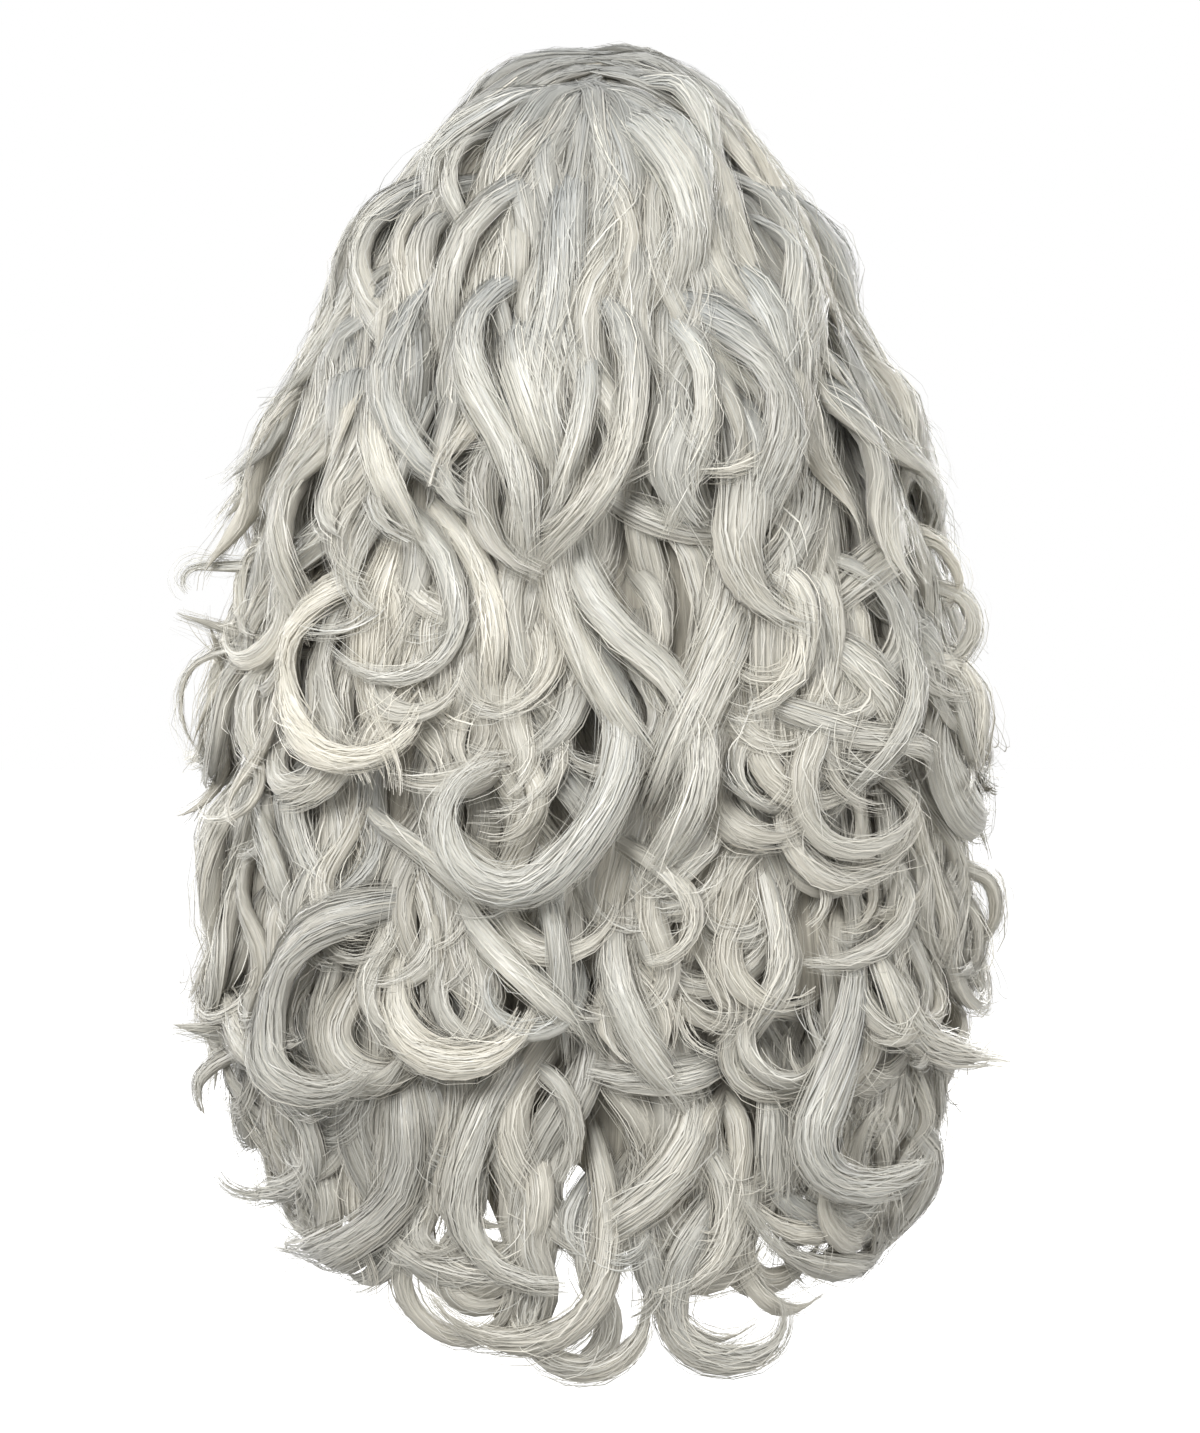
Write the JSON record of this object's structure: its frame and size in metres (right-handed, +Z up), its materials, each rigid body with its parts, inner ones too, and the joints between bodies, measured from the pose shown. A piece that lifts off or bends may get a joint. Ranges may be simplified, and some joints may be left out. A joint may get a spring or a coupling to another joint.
{
  "type": "curly wig",
  "caption": "Long curly silver-grey wig: a thin open cap carrying nested tiers of waved, ringlet-ended hair, worn over the head.",
  "frame": {"origin": "inside top of the cap, where the crown of the head seats", "axes": "+Z up, +Y towards the face, -Y the back of the hair, +X the wearer's right"},
  "size_m": [0.4285, 0.2937, 0.6841],
  "materials": {
    "cap_net": "fine knitted net",
    "crown_hair": "soft satin fibre, cool silver grey",
    "weft_hair": "soft satin fibre, silver with ivory lights",
    "front_hair": "soft satin fibre, silver with ivory lights"
  },
  "bodies": {
    "root": {"cap": "cap_net", "crown_hair": "crown_hair", "upper_weft": "weft_hair", "lower_weft": "weft_hair", "nape_weft": "weft_hair", "front_hair_right": "front_hair", "front_hair_left": "front_hair"}
  },
  "joints": []
}
